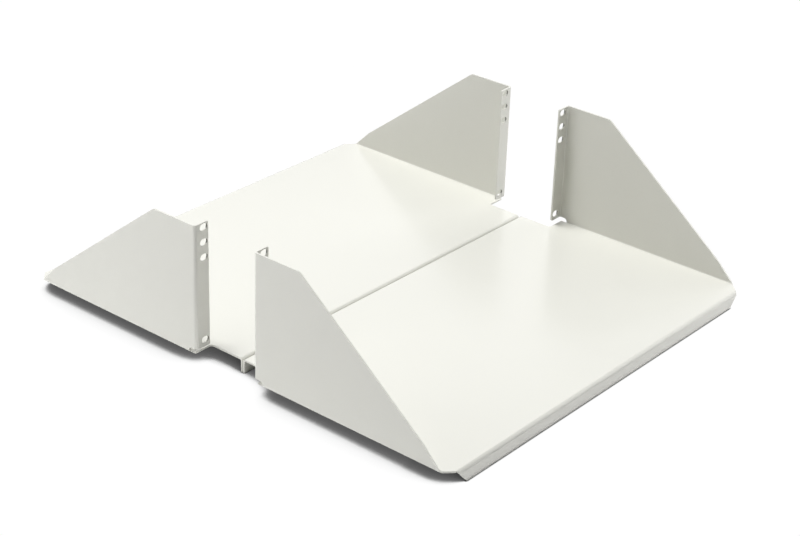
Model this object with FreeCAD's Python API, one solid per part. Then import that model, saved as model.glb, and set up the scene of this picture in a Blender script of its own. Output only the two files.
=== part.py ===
import FreeCAD, Part
import math
import os

from FreeCAD import Vector

# Double-sided rack shelf: two equal folded sheet halves that bolt to the two faces of a rack post.
# Millimetres, +Z up, +X across the rack. The seam between the halves lies on Y = 0 and the lips stand
# on Z = 0. The rear half lies on +Y and the front half is the same sheet turned half a turn about Z.

# Sheet and overall sizes
SHEET = 1.9
BEND_INSIDE = 1.5
BEND_NEUTRAL = 0.44
SEAM_GAP = 0.8
SHELF_DEPTH = 552.0
LIP_HEIGHT = 15.4

# Rack slots and the flange around them
RACK_PITCH = 15.875
RACK_UNIT = 44.45
SLOT_SPACING = 465.1
SLOT_LENGTH = 9.6
SLOT_HEIGHT = 7.1
SLOT_TO_SIDE = 11.9
SLOT_EDGE = 1.3
SLOT_TOP_EDGE = 1.2
SLOT_BOTTOM_EDGE = 3.65
FLANGE_ROUND = 1.5

# Side walls, post gap and outer corners
POST_DEPTH = 76.2
SIDE_TOP = 55.5
SIDE_TOP_ROUND = 8.0
TIP_RISE = 18.2
CORNER_CUT = 14.0
LIP_TAPER = 13.6

# Tongue between the posts and the relief at its corners
TONGUE_INSET = 6.0
STEP_CLEARANCE = 3.9
STEP_ROUND = 3.0
FLANGE_LIFT = 4.4
RELIEF_REACH = 7.7
RELIEF_ROUND = 4.0
RELIEF_START_DEGREES = 31.0

# Places worked out from the sizes above
BEND_OUTSIDE = BEND_INSIDE + SHEET
HALF_WIDTH = SLOT_SPACING / 2 + SLOT_TO_SIDE
HALF_DEPTH = SHELF_DEPTH / 2
SEAM_FACE = SEAM_GAP / 2
FLOOR_TOP = LIP_HEIGHT
FLOOR_UNDER = FLOOR_TOP - SHEET
FLANGE_FACE = POST_DEPTH / 2
FLANGE_BOTTOM = FLOOR_TOP + FLANGE_LIFT
FLANGE_FREE = SLOT_SPACING / 2 - SLOT_LENGTH / 2 - SLOT_EDGE
SLOT_DROPS = (0.0, RACK_PITCH, 2 * RACK_PITCH, 2 * RACK_PITCH + 2 * RACK_UNIT)
SLOT_LOWEST = FLANGE_BOTTOM + SLOT_BOTTOM_EDGE + SLOT_HEIGHT / 2
SLOT_TOPMOST = SLOT_LOWEST + SLOT_DROPS[-1]
SIDE_HEIGHT = SLOT_TOPMOST + SLOT_HEIGHT / 2 + SLOT_TOP_EDGE
TONGUE_HALF = FLANGE_FREE - TONGUE_INSET
STEP_FACE = FLANGE_FACE + STEP_CLEARANCE
BEND_AXIS_X = HALF_WIDTH - BEND_OUTSIDE
SIDE_FOOT = FLOOR_TOP + BEND_INSIDE
BEND_LENGTH = math.pi / 2 * (BEND_INSIDE + BEND_NEUTRAL * SHEET)
SHEAR_START = HALF_DEPTH - CORNER_CUT + BEND_OUTSIDE
SHEAR_END = SHEAR_START - BEND_LENGTH
SHEAR_ANGLES = range(-15, 106, 15)
CUTTER_MARGIN = 5.0
CUTTER_SKIN = 0.02
SAME_PLACE = 1e-4


def prism(points, along):
    """A solid swept from a closed outline of points along a vector."""
    closed = list(points) + [points[0]]
    return Part.Face(Part.makePolygon(closed)).extrude(along)


def block(x0, y0, z0, x1, y1, z1):
    """A box between two corners."""
    return Part.makeBox(x1 - x0, y1 - y0, z1 - z0, Vector(x0, y0, z0))


def arc_edge(centre, radius, u, v, start, end):
    """An arc in the plane of the unit vectors u and v, its angles in degrees."""
    points = []
    for angle in (start, (start + end) / 2, end):
        turn = math.radians(angle)
        points.append(centre + u * (radius * math.cos(turn)) + v * (radius * math.sin(turn)))
    return Part.Arc(*points).toShape()


def bend(centre, u, v, along):
    """A quarter bend of the sheet from direction u to direction v, swept along a vector."""
    outer = arc_edge(centre, BEND_OUTSIDE, u, v, 0, 90)
    inner = arc_edge(centre, BEND_INSIDE, u, v, 0, 90)
    first = Part.makeLine(centre + u * BEND_INSIDE, centre + u * BEND_OUTSIDE)
    last = Part.makeLine(centre + v * BEND_OUTSIDE, centre + v * BEND_INSIDE)
    return Part.Face(Part.Wire(Part.__sortEdges__([first, outer, last, inner]))).extrude(along)


def round_edges(shape, radius, test):
    """The shape with a fillet on each straight edge whose middle passes the test."""
    chosen = []
    for edge in shape.Edges:
        middle = edge.CenterOfMass
        if len(edge.Vertexes) == 2 and test(middle, edge):
            chosen.append(edge)
    return shape.makeFillet(radius, chosen)


def near(a, b):
    """True where two lengths agree."""
    return abs(a - b) < SAME_PLACE


def floor_and_lips():
    """The pan floor with its outer and middle lips folded down and its outer corners cut."""
    width = Vector(2 * BEND_AXIS_X, 0, 0)
    left = -BEND_AXIS_X
    outer_axis = HALF_DEPTH - BEND_OUTSIDE
    middle_axis = SEAM_FACE + BEND_OUTSIDE
    low_axis = FLOOR_TOP - BEND_OUTSIDE
    up = Vector(0, 0, 1)
    rear = Vector(0, 1, 0)
    front = Vector(0, -1, 0)
    pan = block(left, middle_axis, FLOOR_UNDER, BEND_AXIS_X, outer_axis, FLOOR_TOP)
    outer_lip = block(left, HALF_DEPTH - SHEET, 0, BEND_AXIS_X, HALF_DEPTH, low_axis)
    middle_lip = block(left, SEAM_FACE, 0, BEND_AXIS_X, SEAM_FACE + SHEET, low_axis)
    outer_bend = bend(Vector(left, outer_axis, low_axis), rear, up, width)
    middle_bend = bend(Vector(left, middle_axis, low_axis), front, up, width)
    body = pan.multiFuse([outer_lip, middle_lip, outer_bend, middle_bend])
    cutters = corner_cutters()
    cutters += [mirrored(cutter) for cutter in cutters]
    return body.cut(cutters)


def gusset():
    """The right side wall with its sloping edge, sheared tip, floor bend and mounting flange."""
    top_corner = FLANGE_FACE + SIDE_TOP
    axis_y = FLANGE_FACE + BEND_OUTSIDE
    inner_x = HALF_WIDTH - SHEET
    outline = [
        Vector(inner_x, axis_y, SIDE_FOOT),
        Vector(inner_x, SHEAR_END, SIDE_FOOT),
        Vector(inner_x, SHEAR_END - TIP_RISE, SIDE_FOOT + TIP_RISE),
        Vector(inner_x, top_corner, SIDE_HEIGHT),
        Vector(inner_x, axis_y, SIDE_HEIGHT),
    ]
    wall = prism(outline, Vector(SHEET, 0, 0))
    wall = round_edges(
        wall,
        SIDE_TOP_ROUND,
        lambda m, e: near(m.y, top_corner) and near(m.z, SIDE_HEIGHT) and near(e.Length, SHEET),
    )
    run = Vector(0, HALF_DEPTH - STEP_FACE, 0)
    right = Vector(1, 0, 0)
    foot_bend = bend(Vector(BEND_AXIS_X, STEP_FACE, SIDE_FOOT), right, Vector(0, 0, -1), run)
    foot_bend = foot_bend.cut(shear_cutter())
    rise = Vector(0, 0, SIDE_HEIGHT - FLANGE_BOTTOM)
    flange_bend = bend(Vector(BEND_AXIS_X, axis_y, FLANGE_BOTTOM), right, Vector(0, -1, 0), rise)
    return wall.multiFuse([foot_bend, flange_bend, flange()])


def shear_path(radius):
    """The line of the corner shear wound round the right floor bend, at a distance from its axis."""
    points = []
    for angle in SHEAR_ANGLES:
        turn = math.radians(angle)
        y = SHEAR_START - BEND_LENGTH * angle / 90
        points.append(Vector(BEND_AXIS_X + radius * math.sin(turn), y, SIDE_FOOT - radius * math.cos(turn)))
    curve = Part.BSplineCurve()
    curve.interpolate(points)
    return curve.toShape()


def shear_cutter():
    """What the straight shear across the flat blank's corner takes off the right floor bend."""
    inner = shear_path(BEND_INSIDE - CUTTER_SKIN)
    outer = shear_path(BEND_OUTSIDE + CUTTER_SKIN)
    return Part.makeRuledSurface(inner, outer).extrude(Vector(0, CORNER_CUT + CUTTER_MARGIN, 0))


def flange():
    """The right mounting flange with its rounded free corners, before its slots are cut."""
    back = FLANGE_FACE + SHEET
    plate = block(FLANGE_FREE, FLANGE_FACE, FLANGE_BOTTOM, BEND_AXIS_X, back, SIDE_HEIGHT)
    return round_edges(plate, FLANGE_ROUND, lambda m, e: near(m.x, FLANGE_FREE) and near(e.Length, SHEET))


def slot(drop):
    """The cutter of one horizontal slot on the right flange."""
    radius = SLOT_HEIGHT / 2
    half = SLOT_LENGTH / 2 - radius
    x = SLOT_SPACING / 2
    y = FLANGE_FACE - CUTTER_MARGIN
    z = SLOT_TOPMOST - drop
    depth = SHEET + 2 * CUTTER_MARGIN
    axis = Vector(0, 1, 0)
    middle = block(x - half, y, z - radius, x + half, y + depth, z + radius)
    left_end = Part.makeCylinder(radius, depth, Vector(x - half, y, z), axis)
    right_end = Part.makeCylinder(radius, depth, Vector(x + half, y, z), axis)
    return middle.multiFuse([left_end, right_end])


def step_cutter():
    """What leaves the floor tongue narrower between the posts, on the right."""
    top = FLOOR_TOP + FLANGE_LIFT / 2
    cutter = block(TONGUE_HALF, -CUTTER_MARGIN, -CUTTER_MARGIN, HALF_WIDTH + CUTTER_MARGIN, STEP_FACE, top)
    return round_edges(
        cutter,
        STEP_ROUND,
        lambda m, e: near(m.x, TONGUE_HALF) and near(m.y, STEP_FACE),
    )


def relief_cutter():
    """The rounded notch from part way round the floor bend up to the flange's foot, on the right."""
    start = STEP_FACE - CUTTER_MARGIN
    end = FLANGE_FACE + BEND_OUTSIDE + RELIEF_REACH
    right = HALF_WIDTH + CUTTER_MARGIN
    low = SIDE_FOOT - (right - BEND_AXIS_X) / math.tan(math.radians(RELIEF_START_DEGREES))
    section = [
        Vector(BEND_AXIS_X, start, SIDE_FOOT),
        Vector(right, start, low),
        Vector(right, start, FLANGE_BOTTOM),
        Vector(BEND_AXIS_X, start, FLANGE_BOTTOM),
    ]
    wedge = prism(section, Vector(0, end - start, 0))
    notch = block(BEND_AXIS_X, start, low, right, end, FLANGE_BOTTOM)
    notch = round_edges(notch, RELIEF_ROUND, lambda m, e: near(m.y, end) and near(m.z, FLANGE_BOTTOM))
    return notch.common(wedge)


def corner_cutters():
    """The cut outer corner of the floor and the tapered end of the outer lip, on the right."""
    cut_y = HALF_DEPTH - CORNER_CUT
    cut_x = HALF_WIDTH - CORNER_CUT
    right = HALF_WIDTH + CUTTER_MARGIN
    plan = [
        Vector(right, cut_y - CUTTER_MARGIN, -CUTTER_MARGIN),
        Vector(right, HALF_DEPTH + CUTTER_MARGIN, -CUTTER_MARGIN),
        Vector(cut_x - CUTTER_MARGIN, HALF_DEPTH + CUTTER_MARGIN, -CUTTER_MARGIN),
    ]
    corner = prism(plan, Vector(0, 0, FLOOR_TOP + 2 * CUTTER_MARGIN))
    lip_x = cut_x + BEND_OUTSIDE
    lip_y = HALF_DEPTH - BEND_OUTSIDE
    slope = LIP_TAPER / FLOOR_TOP
    lip_end = [
        Vector(lip_x, lip_y, FLOOR_TOP),
        Vector(lip_x - LIP_TAPER - slope * CUTTER_MARGIN, lip_y, -CUTTER_MARGIN),
        Vector(right, lip_y, -CUTTER_MARGIN),
        Vector(right, lip_y, FLOOR_TOP),
    ]
    return [corner, prism(lip_end, Vector(0, BEND_OUTSIDE + CUTTER_MARGIN, 0))]


def mirrored(shape):
    """The shape on the other side of the YZ plane."""
    return shape.mirror(Vector(0, 0, 0), Vector(1, 0, 0))


def half_shelf():
    """One folded half on the +Y side of the seam."""
    right = gusset()
    body = floor_and_lips().multiFuse([right, mirrored(right)])
    cutters = [step_cutter(), relief_cutter()]
    cutters += [slot(drop) for drop in SLOT_DROPS]
    cutters += [mirrored(cutter) for cutter in cutters]
    body = body.cut(cutters)
    return body.removeSplitter().Solids[0]


rear_half = half_shelf()
front_half = rear_half.copy()
front_half.rotate(Vector(0, 0, 0), Vector(0, 0, 1), 180)

os.makedirs("parts", exist_ok=True)
front_half.exportStep("parts/front_half.step")
rear_half.exportStep("parts/rear_half.step")
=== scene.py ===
"""Looks of the double-sided rack shelf: two powder-coated sheet halves on a white studio table.

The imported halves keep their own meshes. This file softens their cut edges, coats them, and sets up the
table, the lamps and the camera of a product photograph around them. Lengths are in metres and angles in
degrees.
"""

import logging
import math
from dataclasses import dataclass
from enum import Enum
from typing import Any

import bpy
from mathutils import Matrix, Vector


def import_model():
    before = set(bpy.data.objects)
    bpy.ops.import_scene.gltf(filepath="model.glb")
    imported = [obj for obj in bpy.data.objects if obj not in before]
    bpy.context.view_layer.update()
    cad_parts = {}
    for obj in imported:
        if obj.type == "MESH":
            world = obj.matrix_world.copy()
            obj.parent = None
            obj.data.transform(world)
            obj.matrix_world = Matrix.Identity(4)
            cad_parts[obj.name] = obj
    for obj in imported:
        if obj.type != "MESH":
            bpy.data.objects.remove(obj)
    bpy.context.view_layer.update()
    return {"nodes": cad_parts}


LOG = logging.getLogger("rack_shelf")
IMAGE_WIDTH = 800
SENSOR_WIDTH = 36.0
RACK_PITCH = 0.015875
SLOT_SPACING = 0.4651
SLOT_SPAN = 0.12065
LOW_SLOT = 0.027
SLOT_HALF_LENGTH = 0.0051
SLOT_HALF_HEIGHT = 0.0038
MIX_FACTOR, MIX_FIRST, MIX_SECOND = 0, 6, 7
MIX_RESULT = 2
BLACK = (0.0, 0.0, 0.0)
WHITE = (1.0, 1.0, 1.0)
UPWARD = (0.0, 0.0, 1.0)
ORIGIN = (0.0, 0.0, 0.0)
WHOLE = (0.0, 1.0)

Colour = tuple[float, float, float]
Point = tuple[float, float, float]
Span = tuple[float, float]


class Slot(Enum):
    """The record's material slots."""

    POWDER_COAT = "powder_coat"


class Half(Enum):
    """The two folded halves, by the names of their CAD nodes."""

    FRONT = "front_half"
    REAR = "rear_half"


class SocketKind(Enum):
    """The socket types that the node groups use."""

    VALUE = "NodeSocketFloat"
    COLOUR = "NodeSocketColor"
    VECTOR = "NodeSocketVector"


class Blend(Enum):
    """How a ramp goes from one end to the other."""

    STRAIGHT = "LINEAR"
    EASED = "SMOOTHSTEP"


def opaque(colour: Colour) -> tuple[float, float, float, float]:
    """Returns a colour with full alpha, as sockets take it."""
    return (*colour, 1.0)


def direction(azimuth: float, elevation: float) -> Vector:
    """Turns two angles into a direction.

    Args:
        azimuth: the angle round the vertical, from the front towards the right.
        elevation: the angle above the table.

    Returns:
        The unit vector from the origin that way.
    """
    turn = math.radians(azimuth)
    rise = math.radians(elevation)
    return Vector((math.sin(turn) * math.cos(rise), -math.cos(turn) * math.cos(rise), math.sin(rise)))


@dataclass
class NodeBoard:
    """A node tree with short calls that add and join nodes."""

    tree: bpy.types.NodeTree

    def add(self, kind: str, values: dict[str | int, Any] | None = None, **settings: Any) -> bpy.types.Node:
        """Adds one node.

        Args:
            kind: the node's Blender type.
            values: what its inputs get, by name or place: a socket is linked, a constant is set.
            settings: the node's own properties.

        Returns:
            The new node.
        """
        node = self.tree.nodes.new(kind)
        for name, value in settings.items():
            setattr(node, name, value)
        for name, value in (values or {}).items():
            if isinstance(value, bpy.types.NodeSocket):
                self.tree.links.new(value, node.inputs[name])
            else:
                node.inputs[name].default_value = value
        return node

    def maths(self, operation: str, *values: Any) -> bpy.types.NodeSocket:
        """Adds a Math node.

        Args:
            operation: the node's operation.
            values: a number or a socket for each of its inputs.

        Returns:
            The node's output socket.
        """
        return self.add("ShaderNodeMath", dict(enumerate(values)), operation=operation).outputs[0]

    def ramp(
        self,
        value: bpy.types.NodeSocket,
        start: Span = WHOLE,
        end: Span = WHOLE,
        blend: Blend = Blend.STRAIGHT,
    ) -> bpy.types.NodeSocket:
        """Adds a Map Range node, which holds its ends.

        Args:
            value: what is mapped.
            start: the span that the value is taken from.
            end: the span that it is taken to.
            blend: the course between the ends.

        Returns:
            The mapped value's socket.
        """
        spans = {"From Min": start[0], "From Max": start[1], "To Min": end[0], "To Max": end[1]}
        node = self.add("ShaderNodeMapRange", {"Value": value, **spans}, interpolation_type=blend.value)
        return node.outputs["Result"]

    def mix(self, factor: bpy.types.NodeSocket, first: Any, second: Any) -> bpy.types.NodeSocket:
        """Adds a node that mixes two colours.

        Args:
            factor: the second colour's share.
            first: a colour or a socket.
            second: a colour or a socket.

        Returns:
            The mixed colour's socket.
        """
        values = {MIX_FACTOR: factor, MIX_FIRST: first, MIX_SECOND: second}
        return self.add("ShaderNodeMix", values, data_type="RGBA", blend_type="MIX").outputs[MIX_RESULT]

    def noise(
        self,
        place: bpy.types.NodeSocket,
        scale: bpy.types.NodeSocket,
        detail: float,
        roughness: float = 0.5,
    ) -> bpy.types.NodeSocket:
        """Adds a noise texture.

        Args:
            place: where it is read.
            scale: how fine it is.
            detail: how many finer layers it has.
            roughness: how strong these are.

        Returns:
            The texture's value socket.
        """
        values = {"Vector": place, "Scale": scale, "Detail": detail, "Roughness": roughness}
        return self.add("ShaderNodeTexNoise", values).outputs["Fac"]


def new_material(name: str) -> tuple[bpy.types.Material, NodeBoard]:
    """Makes a material with no nodes in it.

    Args:
        name: the material's name.

    Returns:
        The material and its node tree.
    """
    made = bpy.data.materials.new(name)
    made.use_nodes = True
    made.node_tree.nodes.clear()
    return made, NodeBoard(made.node_tree)


@dataclass(frozen=True)
class GroupSocket:
    """One socket of a node group, with its starting value."""

    name: str
    kind: SocketKind
    start: Any = None


@dataclass(frozen=True)
class SurfaceGroup:
    """A shader node group that is built once and placed in each material that needs it."""

    name: str
    takes: tuple[GroupSocket, ...]
    gives: tuple[GroupSocket, ...]

    def tree(self) -> bpy.types.NodeTree:
        """Builds the group at its first use.

        Returns:
            The group.
        """
        found = bpy.data.node_groups.get(self.name)
        if found is not None:
            return found
        tree = bpy.data.node_groups.new(self.name, "ShaderNodeTree")
        for row in self.takes:
            socket = tree.interface.new_socket(row.name, in_out="INPUT", socket_type=row.kind.value)
            if row.start is not None:
                socket.default_value = row.start
        for row in self.gives:
            tree.interface.new_socket(row.name, in_out="OUTPUT", socket_type=row.kind.value)
        board = NodeBoard(tree)
        given = self.wire(board, board.add("NodeGroupInput").outputs)
        board.add("NodeGroupOutput", given)
        return tree

    def wire(self, board: NodeBoard, taken: bpy.types.NodeOutputs) -> dict[str, bpy.types.NodeSocket]:
        """Builds the inside of the group; each kind of group has its own.

        Args:
            board: the group's node tree.
            taken: the sockets of its inputs, by name.

        Returns:
            The sockets that its outputs are linked to, by name.
        """
        raise NotImplementedError

    def place(self, board: NodeBoard, values: dict[str, Any]) -> bpy.types.Node:
        """Places the group in a material.

        Args:
            board: the material's node tree.
            values: what the group's inputs get.

        Returns:
            The group node.
        """
        return board.add("ShaderNodeGroup", values, node_tree=self.tree())


@dataclass(frozen=True)
class OrangePeel(SurfaceGroup):
    """The dimpled skin of a cured powder coat: broad peel with a finer stipple on it."""

    name: str = "orange_peel"
    takes: tuple[GroupSocket, ...] = (
        GroupSocket("Place", SocketKind.VECTOR, ORIGIN),
        GroupSocket("Peel Scale", SocketKind.VALUE, 400.0),
        GroupSocket("Stipple Scale", SocketKind.VALUE, 1500.0),
        GroupSocket("Stipple Share", SocketKind.VALUE, 0.3),
    )
    gives: tuple[GroupSocket, ...] = (GroupSocket("Height", SocketKind.VALUE),)
    peel_detail: float = 1.0
    peel_roughness: float = 0.4
    stipple_detail: float = 2.0
    stipple_roughness: float = 0.6

    def wire(self, board: NodeBoard, taken: bpy.types.NodeOutputs) -> dict[str, bpy.types.NodeSocket]:
        """Adds a fine stipple to the peel's rounded cells.

        Args:
            board: the group's node tree.
            taken: the sockets of its inputs, by name.

        Returns:
            The sockets that its outputs are linked to, by name.
        """
        place = taken["Place"]
        peel = board.noise(place, taken["Peel Scale"], self.peel_detail, self.peel_roughness)
        stipple = board.noise(place, taken["Stipple Scale"], self.stipple_detail, self.stipple_roughness)
        fine = board.maths("MULTIPLY", stipple, taken["Stipple Share"])
        return {"Height": board.maths("ADD", peel, fine)}


@dataclass(frozen=True)
class CoatTone(SurfaceGroup):
    """The slow drift of a coat's colour over a sheet, and the odd darker grain of powder."""

    name: str = "coat_tone"
    takes: tuple[GroupSocket, ...] = (
        GroupSocket("Place", SocketKind.VECTOR, ORIGIN),
        GroupSocket("Colour", SocketKind.COLOUR, (0.8, 0.8, 0.8, 1.0)),
        GroupSocket("Cloud Scale", SocketKind.VALUE, 7.0),
        GroupSocket("Cloud Depth", SocketKind.VALUE, 0.03),
        GroupSocket("Grain Scale", SocketKind.VALUE, 900.0),
        GroupSocket("Grain Depth", SocketKind.VALUE, 0.03),
    )
    gives: tuple[GroupSocket, ...] = (
        GroupSocket("Colour", SocketKind.COLOUR),
        GroupSocket("Cloud", SocketKind.VALUE),
    )
    cloud_detail: float = 3.0
    cloud_roughness: float = 0.55
    grain_detail: float = 1.0
    grain_peaks: Span = (0.6, 0.75)

    def wire(self, board: NodeBoard, taken: bpy.types.NodeOutputs) -> dict[str, bpy.types.NodeSocket]:
        """Shades the colour by a soft cloud and by sparse grains.

        Args:
            board: the group's node tree.
            taken: the sockets of its inputs, by name.

        Returns:
            The sockets that its outputs are linked to, by name.
        """
        place = taken["Place"]
        cloud = board.noise(place, taken["Cloud Scale"], self.cloud_detail, self.cloud_roughness)
        grain = board.noise(place, taken["Grain Scale"], self.grain_detail)
        drift = board.maths("MULTIPLY", cloud, taken["Cloud Depth"])
        specks = board.maths("MULTIPLY", board.ramp(grain, self.grain_peaks), taken["Grain Depth"])
        shade = board.mix(board.maths("ADD", drift, specks), taken["Colour"], opaque(BLACK))
        return {"Colour": shade, "Cloud": cloud}


@dataclass(frozen=True)
class EdgeHighlightMask(SurfaceGroup):
    """Where a painted highlight goes: a soft band along each cut edge and bend."""

    name: str = "edge_highlight_mask"
    takes: tuple[GroupSocket, ...] = (
        GroupSocket("Place", SocketKind.VECTOR, ORIGIN),
        GroupSocket("Break Scale", SocketKind.VALUE, 120.0),
    )
    gives: tuple[GroupSocket, ...] = (GroupSocket("Mask", SocketKind.VALUE),)
    reach: float = 0.0012
    samples: int = 4
    likeness: Span = (0.98, 0.75)
    break_detail: float = 2.0

    def wire(self, board: NodeBoard, taken: bpy.types.NodeOutputs) -> dict[str, bpy.types.NodeSocket]:
        """Compares the rounded normal with the true one and breaks the band up a little.

        Args:
            board: the group's node tree.
            taken: the sockets of its inputs, by name.

        Returns:
            The sockets that its outputs are linked to, by name.
        """
        rounded = board.add("ShaderNodeBevel", {"Radius": self.reach}, samples=self.samples)
        true = board.add("ShaderNodeNewGeometry")
        normals = {0: rounded.outputs["Normal"], 1: true.outputs["Normal"]}
        match = board.add("ShaderNodeVectorMath", normals, operation="DOT_PRODUCT")
        band = board.ramp(match.outputs["Value"], self.likeness)
        breaks = board.noise(taken["Place"], taken["Break Scale"], self.break_detail)
        return {"Mask": board.maths("MULTIPLY", band, breaks)}


@dataclass(frozen=True)
class SlotWallShade(SurfaceGroup):
    """Painted shade at the rounded ends of the slots punched through the flanges: their walls are darkened
    as if in shadow.

    On each side of the rack three slots stand a pitch apart at the top, and one is low down. The half sizes
    reach a little past the slots.
    """

    name: str = "slot_wall_shade"
    takes: tuple[GroupSocket, ...] = (
        GroupSocket("Place", SocketKind.VECTOR, ORIGIN),
        GroupSocket("Side", SocketKind.VALUE, SLOT_SPACING / 2),
        GroupSocket("Half Length", SocketKind.VALUE, SLOT_HALF_LENGTH),
        GroupSocket("Top Row", SocketKind.VALUE, LOW_SLOT + SLOT_SPAN - RACK_PITCH),
        GroupSocket("Top Row Half", SocketKind.VALUE, RACK_PITCH + SLOT_HALF_HEIGHT),
        GroupSocket("Low Slot", SocketKind.VALUE, LOW_SLOT),
        GroupSocket("Low Slot Half", SocketKind.VALUE, SLOT_HALF_HEIGHT),
    )
    gives: tuple[GroupSocket, ...] = (GroupSocket("Mask", SocketKind.VALUE),)
    facing: Span = (0.6, 0.95)

    def wire(self, board: NodeBoard, taken: bpy.types.NodeOutputs) -> dict[str, bpy.types.NodeSocket]:
        """Finds faces that look along the slots, inside their rows.

        Args:
            board: the group's node tree.
            taken: the sockets of its inputs, by name.

        Returns:
            The sockets that its outputs are linked to, by name.
        """
        place = board.add("ShaderNodeSeparateXYZ", {"Vector": taken["Place"]}).outputs
        side = board.maths("ABSOLUTE", place["X"])
        across = board.maths("COMPARE", side, taken["Side"], taken["Half Length"])
        top = board.maths("COMPARE", place["Z"], taken["Top Row"], taken["Top Row Half"])
        low = board.maths("COMPARE", place["Z"], taken["Low Slot"], taken["Low Slot Half"])
        rows = board.maths("MULTIPLY", board.maths("MAXIMUM", top, low), across)
        normal = board.add("ShaderNodeNewGeometry").outputs["Normal"]
        lean = board.add("ShaderNodeSeparateXYZ", {"Vector": normal}).outputs["X"]
        along = board.ramp(board.maths("ABSOLUTE", lean), self.facing)
        return {"Mask": board.maths("MULTIPLY", rows, along)}


@dataclass(frozen=True)
class PowderCoat:
    """A warm off-white satin powder coat on sheet steel."""

    colour: Colour = (0.79, 0.788, 0.73)
    # Painted highlight: cut edges and bends are lightened.
    edge_highlight_colour: Colour = (0.83, 0.83, 0.77)
    # Painted shade: the slot walls are darkened as if in shadow.
    slot_shade_colour: Colour = (0.22, 0.22, 0.20)
    roughness: Span = (0.19, 0.25)
    ior: float = 1.5
    peel_height: float = 0.00002
    peel_strength: float = 0.6

    def material(self, name: str, start: Point) -> bpy.types.Material:
        """Builds the coat.

        Args:
            name: the material's name.
            start: where in the textures this sheet's coat begins, so that no two sheets are alike.

        Returns:
            The new material.
        """
        made, board = new_material(name)
        made.diffuse_color = opaque(self.colour)
        place = board.add("ShaderNodeTexCoord").outputs["Object"]
        moved = board.add("ShaderNodeMapping", {"Vector": place, "Location": start}).outputs["Vector"]
        tone = CoatTone().place(board, {"Place": moved, "Colour": opaque(self.colour)}).outputs
        peel = OrangePeel().place(board, {"Place": moved}).outputs
        edges = EdgeHighlightMask().place(board, {"Place": moved}).outputs
        walls = SlotWallShade().place(board, {"Place": place}).outputs
        # Painted highlight along the cut edges and bends.
        edge_lit = board.mix(edges["Mask"], tone["Colour"], opaque(self.edge_highlight_colour))
        # Painted shade: the slot walls take the dark slot colour.
        slot_shaded = board.mix(walls["Mask"], edge_lit, opaque(self.slot_shade_colour))
        dents = {"Height": peel["Height"], "Strength": self.peel_strength, "Distance": self.peel_height}
        coat = board.add(
            "ShaderNodeBsdfPrincipled",
            {
                "Base Color": slot_shaded,
                "Roughness": board.ramp(tone["Cloud"], end=self.roughness),
                "Normal": board.add("ShaderNodeBump", dents).outputs["Normal"],
                "IOR": self.ior,
            },
        )
        board.add("ShaderNodeOutputMaterial", {"Surface": coat.outputs["BSDF"]})
        return made


def seen_directly(board: NodeBoard) -> bpy.types.NodeSocket:
    """Adds a test for rays from the camera, a gloss or a clear piece.

    Args:
        board: the node tree that it goes in.

    Returns:
        A socket that is 1 on such rays.
    """
    path = board.add("ShaderNodeLightPath").outputs
    gloss = board.maths("MAXIMUM", path["Is Glossy Ray"], path["Is Transmission Ray"])
    return board.maths("MAXIMUM", path["Is Camera Ray"], gloss)


@dataclass(frozen=True)
class ShadeStep:
    """One rise of the table's white, over a span of the share of the room that is open above it."""

    share: Span
    rise: float
    blend: Blend = Blend.STRAIGHT


@dataclass(frozen=True)
class Shade:
    """How what stands on the table takes its white: how near, seen which way, and how fast."""

    reach: float
    lean: Point
    steps: tuple[ShadeStep, ...]
    samples: int = 32

    def white_share(self, board: NodeBoard) -> bpy.types.NodeSocket:
        """Adds a measure of how white the table stays.

        Args:
            board: the material's node tree.

        Returns:
            A socket that goes from 0, shut in, to 1, clear.
        """
        toward = board.add("ShaderNodeVectorMath", {0: self.lean}, operation="NORMALIZE").outputs["Vector"]
        values = {"Distance": self.reach, "Normal": toward}
        free = board.add("ShaderNodeAmbientOcclusion", values, samples=self.samples).outputs["AO"]
        rises = [board.ramp(free, step.share, (0.0, step.rise), step.blend) for step in self.steps]
        total = rises[0]
        for rise in rises[1:]:
            total = board.maths("ADD", total, rise)
        return total


@dataclass(frozen=True)
class TableWhite:
    """The even white of a studio table, with a soft shade where the shelf shuts it in.

    Seen directly the table glows, and only the shade darkens it. Other rays meet a matt white that takes
    the lamps' light. The wide shade looks for the room to the right and the front, so it falls to the left
    as in the photograph. The close one draws the line where a lip touches the table.
    """

    white: Colour = WHITE
    shaded: Colour = (0.005, 0.005, 0.005)
    seen_level: float = 1.01
    mirrored_level: float = 1.4
    wide: Shade = Shade(
        0.06,
        (0.36, -0.6, 1.0),
        (
            ShadeStep((0.05, 0.36), 0.15),
            ShadeStep((0.36, 0.53), 0.76, Blend.EASED),
            ShadeStep((0.53, 0.64), 0.09),
        ),
    )
    close: Shade = Shade(0.002, UPWARD, (ShadeStep((0.5, 0.9), 1.0),))

    def material(self, name: str) -> bpy.types.Material:
        """Builds the table's finish.

        Args:
            name: the material's name.

        Returns:
            The new material.
        """
        made, board = new_material(name)
        clear = board.maths("MULTIPLY", self.wide.white_share(board), self.close.white_share(board))
        colour = board.mix(clear, opaque(self.shaded), opaque(self.white))
        from_camera = board.add("ShaderNodeLightPath").outputs["Is Camera Ray"]
        level = board.ramp(from_camera, end=(self.mirrored_level, self.seen_level))
        glow = board.add("ShaderNodeEmission", {"Color": colour, "Strength": level}).outputs["Emission"]
        matt = board.add("ShaderNodeBsdfDiffuse", {"Color": colour}).outputs["BSDF"]
        top = board.add("ShaderNodeMixShader", {0: seen_directly(board), 1: matt, 2: glow})
        board.add("ShaderNodeOutputMaterial", {"Surface": top.outputs["Shader"]})
        return made


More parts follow.
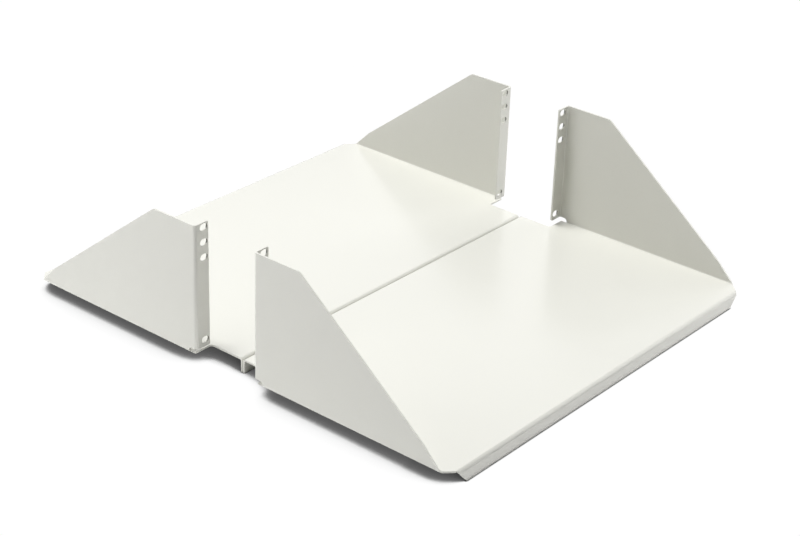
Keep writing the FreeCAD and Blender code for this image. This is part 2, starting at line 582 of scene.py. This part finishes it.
@dataclass
class ShelfHalf:
    """One folded half of the shelf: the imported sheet, with its cut edges softened by the coat."""

    half: Half
    coat_start: Point
    weld: float = 0.000001
    flat_angle: float = 1.0
    sharp_angle: float = 30.0
    edge_round: float = 0.00018
    edge_steps: int = 2

    def soften(self, sheet: bpy.types.Object) -> None:
        """Rounds the sheet's cut edges by the thickness that a coat gives them.

        Args:
            sheet: the half's CAD object.
        """
        weld = sheet.modifiers.new("weld_faces", "WELD")
        weld.merge_threshold = self.weld
        flat = sheet.modifiers.new("join_flats", "DECIMATE")
        flat.decimate_type = "DISSOLVE"
        flat.angle_limit = math.radians(self.flat_angle)
        edge = sheet.modifiers.new("soft_edges", "BEVEL")
        edge.width = self.edge_round
        edge.segments = self.edge_steps
        edge.limit_method = "ANGLE"
        edge.angle_limit = math.radians(self.sharp_angle)
        edge.harden_normals = True

    def dress(self, sheet: bpy.types.Object, coat: PowderCoat) -> None:
        """Gives the sheet its coat.

        Args:
            sheet: the half's CAD object.
            coat: the finish.
        """
        finish = coat.material(f"{self.half.value}_coat", self.coat_start)
        for material_slot in sheet.material_slots:
            material_slot.material = finish

    def build(self, nodes: dict[str, bpy.types.Object], coat: PowderCoat) -> bpy.types.Object:
        """Finishes the half.

        Args:
            nodes: the CAD objects by name.
            coat: the finish.

        Returns:
            The half's object.
        """
        sheet = nodes[self.half.value]
        self.soften(sheet)
        self.dress(sheet, coat)
        return sheet


@dataclass
class Table:
    """The white table that the shelf stands on."""

    reach: float = 12.0
    finish: TableWhite = TableWhite()

    def build(self) -> bpy.types.Object:
        """Makes the table's top as one wide flat face.

        Returns:
            The top.
        """
        signs = ((-1, -1), (1, -1), (1, 1), (-1, 1))
        corners = [(x * self.reach, y * self.reach, 0.0) for x, y in signs]
        mesh = bpy.data.meshes.new("table_top")
        mesh.from_pydata(corners, [], [(0, 1, 2, 3)])
        mesh.materials.append(self.finish.material("table_white"))
        top = bpy.data.objects.new("table_top", mesh)
        bpy.context.scene.collection.objects.link(top)
        return top


@dataclass(frozen=True)
class SoftSun:
    """A far, broad lamp that lights the whole table evenly and makes no glare in the coat."""

    name: str
    azimuth: float
    elevation: float
    spread: float
    level: float
    distance: float = 3.0

    def build(self) -> bpy.types.Object:
        """Makes the lamp.

        Returns:
            The lamp's object.
        """
        data = bpy.data.lights.new(self.name, "SUN")
        data.energy = self.level * math.pi
        data.angle = math.radians(self.spread)
        lamp = bpy.data.objects.new(self.name, data)
        toward = direction(self.azimuth, self.elevation)
        lamp.rotation_euler = toward.to_track_quat("Z", "Y").to_euler()
        lamp.location = toward * self.distance
        lamp.visible_glossy = False
        bpy.context.scene.collection.objects.link(lamp)
        return lamp


@dataclass(frozen=True)
class SoftBox:
    """A square lamp that faces the shelf's middle, its level given there, with or without a glare."""

    name: str
    place: Point
    level: float
    side: float = 0.9
    aim: Point = (0.0, 0.0, 0.05)
    glare: bool = True

    def build(self) -> bpy.types.Object:
        """Makes the lamp.

        Returns:
            The lamp's object.
        """
        data = bpy.data.lights.new(self.name, "AREA")
        data.shape = "SQUARE"
        data.size = self.side
        away = Vector(self.place) - Vector(self.aim)
        data.energy = self.level * math.pi**2 * away.length_squared
        lamp = bpy.data.objects.new(self.name, data)
        lamp.location = self.place
        lamp.visible_glossy = self.glare
        lamp.rotation_euler = away.to_track_quat("Z", "Y").to_euler()
        bpy.context.scene.collection.objects.link(lamp)
        return lamp


@dataclass(frozen=True)
class Studio:
    """The lamps of the white room, and what the camera and the gloss see of it."""

    unseen_level: float = 0.0
    seen_level: float = 1.0
    lamps: tuple[SoftSun | SoftBox, ...] = (
        SoftSun("overhead", -150.0, 79.0, 18.0, 0.875),
        SoftBox("left_box", (-0.7, 0.6, 0.5), 0.205),
        SoftBox("left_rear_box", (-0.5, 0.9, 1.05), 0.12),
        SoftBox("rear_box", (0.95, 0.8, 0.8), 0.065),
        SoftBox("right_box", (0.9, -0.9, 0.6), 0.14),
        SoftBox("low_box", (0.75, -0.35, 0.2), 0.13, 0.3, glare=False),
    )

    def build(self) -> list[bpy.types.Object]:
        """Lights the room.

        Returns:
            The lamps.
        """
        scene = bpy.context.scene
        scene.view_settings.view_transform = "Standard"
        room = bpy.data.worlds.new("white_room")
        room.use_nodes = True
        board = NodeBoard(room.node_tree)
        board.tree.nodes.clear()
        level = board.ramp(seen_directly(board), end=(self.unseen_level, self.seen_level))
        light = board.add("ShaderNodeBackground", {"Color": opaque(WHITE), "Strength": level})
        board.add("ShaderNodeOutputWorld", {"Surface": light.outputs["Background"]})
        scene.world = room
        return [lamp.build() for lamp in self.lamps]


@dataclass(frozen=True)
class ProductCamera:
    """The camera of the product photograph, which leans a little to one side.

    It looks at the target, and then shifts sideways and up by the principal offset, in pixels as large as
    they are at the target.
    """

    azimuth: float = -50.701
    elevation: float = 27.191
    roll: float = 2.013
    distance: float = 1.903594
    target: Point = (-0.048680, -0.051246, 0.067196)
    focal_pixels: float = 1913.635
    principal: Span = (0.5, 0.5)
    clip: Span = (0.05, 100.0)

    def build(self) -> bpy.types.Object:
        """Makes the camera and sets it as the scene's.

        Returns:
            The camera's object.
        """
        data = bpy.data.cameras.new("product_camera")
        data.sensor_fit = "HORIZONTAL"
        data.sensor_width = SENSOR_WIDTH
        data.lens = self.focal_pixels * SENSOR_WIDTH / IMAGE_WIDTH
        data.clip_start, data.clip_end = self.clip
        back = direction(self.azimuth, self.elevation)
        level = direction(self.azimuth + 90.0, 0.0)
        turn = Matrix.Rotation(math.radians(self.roll), 3, back)
        right = turn @ level
        up = turn @ back.cross(level)
        pixel = self.distance / self.focal_pixels
        place = Vector(self.target) + back * self.distance
        place -= right * (self.principal[0] * pixel)
        place += up * (self.principal[1] * pixel)
        camera = bpy.data.objects.new("product_camera", data)
        axes = Matrix((right, up, back)).transposed()
        camera.matrix_world = Matrix.Translation(place) @ axes.to_4x4()
        bpy.context.scene.collection.objects.link(camera)
        bpy.context.scene.camera = camera
        return camera


def main() -> None:
    """Builds the scene piece by piece."""
    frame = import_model()
    camera = ProductCamera().build()
    LOG.info("camera %s", camera.name)
    coat = PowderCoat()
    halves = (
        ShelfHalf(Half.FRONT, ORIGIN),
        ShelfHalf(Half.REAR, (3.1, 1.7, 2.3)),
    )
    for half in halves:
        sheet = half.build(frame["nodes"], coat)
        LOG.info("sheet %s", sheet.name)
    table = Table().build()
    LOG.info("stage %s", table.name)
    for lamp in Studio().build():
        LOG.info("lamp %s", lamp.name)


if __name__ == "__main__":
    logging.basicConfig(level=logging.INFO)
    main()
